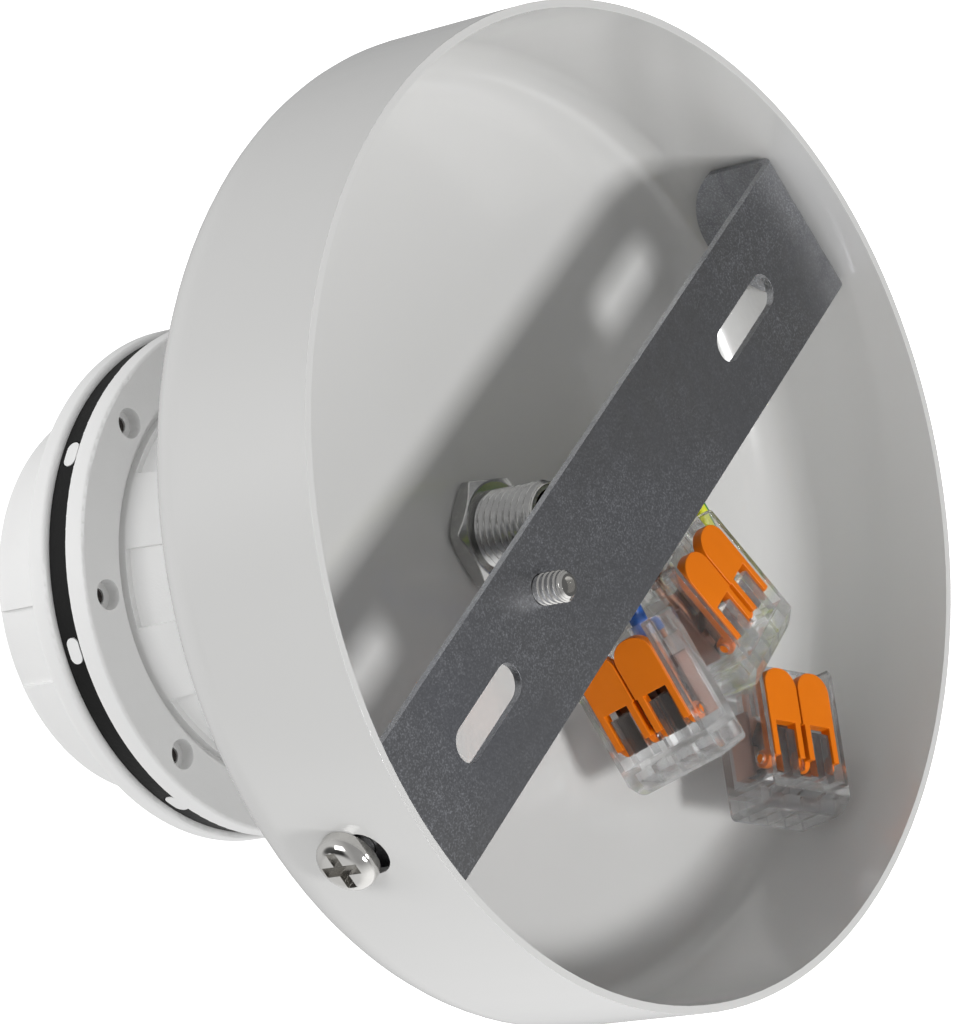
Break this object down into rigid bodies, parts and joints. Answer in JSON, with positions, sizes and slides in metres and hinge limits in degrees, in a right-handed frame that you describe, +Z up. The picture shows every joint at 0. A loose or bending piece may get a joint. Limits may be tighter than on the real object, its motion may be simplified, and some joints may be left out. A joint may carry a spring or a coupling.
{
  "type": "batten lamp holder",
  "caption": "Wall lamp holder on a round canopy cup with a slotted mounting bracket, lever splice connectors and a short flanged socket.",
  "frame": {"origin": "centre of the cup's rim, on the plane that meets the wall", "axes": "+Y out of the rim towards the wall, so the lamp is on the -Y side; +X along the bracket; +Z up"},
  "size_m": [0.1248, 0.085, 0.12],
  "materials": {
    "cup_paint": "gloss paint",
    "galvanised": "dull galvanised",
    "chrome": "bright",
    "zinc": "zinc plated",
    "black_steel": "blackened",
    "holder_white": "satin",
    "gasket_rubber": "matte",
    "brass": "bright",
    "ceramic": "glazed",
    "copper": "bright",
    "bar_copper": "dull copper",
    "spring_steel": "dark",
    "clear": "clear",
    "lever_orange": "satin",
    "insulation_brown": "satin",
    "insulation_blue": "satin",
    "insulation_earth": "satin, with a green stripe"
  },
  "bodies": {
    "fixture": {"canopy_cup": "cup_paint", "mounting_bracket": "galvanised", "side_screws": "chrome", "earth_screw": "chrome", "earth_washer": "zinc", "earth_terminal": "zinc", "threaded_nipple": "zinc", "cup_nut": "zinc", "neck_nut": "zinc", "terminal_screws": "zinc", "half_screws": "black_steel", "rear_housing": "holder_white", "holder_body": "holder_white", "gasket": "gasket_rubber", "screw_shell": "brass", "centre_contact": "brass", "socket_insert": "ceramic", "bare_conductors": "copper", "lead_brown": "insulation_brown", "lead_blue": "insulation_blue", "lead_earth": "insulation_earth", "connector_1_housing": "clear", "connector_1_bar": "bar_copper", "connector_1_springs": "spring_steel", "connector_2_housing": "clear", "connector_2_bar": "bar_copper", "connector_2_springs": "spring_steel", "connector_3_housing": "clear", "connector_3_bar": "bar_copper", "connector_3_springs": "spring_steel"},
    "connector_1_lever_left": {"connector_1_lever_left": "lever_orange"},
    "connector_1_lever_right": {"connector_1_lever_right": "lever_orange"},
    "connector_2_lever_left": {"connector_2_lever_left": "lever_orange"},
    "connector_2_lever_right": {"connector_2_lever_right": "lever_orange"},
    "connector_3_lever_left": {"connector_3_lever_left": "lever_orange"},
    "connector_3_lever_right": {"connector_3_lever_right": "lever_orange"}
  },
  "joints": [
    {"name": "connector_1_lever_left_hinge", "type": "hinge", "parent": "fixture", "child": "connector_1_lever_left", "pos_m": [0.00688, -0.01238, -0.02782], "axis": [-0.2862, 0.9455, 0.1552], "range_deg": [0, 90]},
    {"name": "connector_1_lever_right_hinge", "type": "hinge", "parent": "fixture", "child": "connector_1_lever_right", "pos_m": [0.00688, -0.01238, -0.02782], "axis": [-0.2862, 0.9455, 0.1552], "range_deg": [0, 90]},
    {"name": "connector_2_lever_left_hinge", "type": "hinge", "parent": "fixture", "child": "connector_2_lever_left", "pos_m": [-0.0128, -0.00958, -0.02739], "axis": [-0.9928, -0.1094, -0.0496], "range_deg": [0, 90]},
    {"name": "connector_2_lever_right_hinge", "type": "hinge", "parent": "fixture", "child": "connector_2_lever_right", "pos_m": [-0.0128, -0.00958, -0.02739], "axis": [-0.9928, -0.1094, -0.0496], "range_deg": [0, 90]},
    {"name": "connector_3_lever_left_hinge", "type": "hinge", "parent": "fixture", "child": "connector_3_lever_left", "pos_m": [-0.009, -0.01115, -0.04767], "axis": [-0.6492, 0.1331, -0.7489], "range_deg": [0, 90]},
    {"name": "connector_3_lever_right_hinge", "type": "hinge", "parent": "fixture", "child": "connector_3_lever_right", "pos_m": [-0.009, -0.01115, -0.04767], "axis": [-0.6492, 0.1331, -0.7489], "range_deg": [0, 90]}
  ]
}
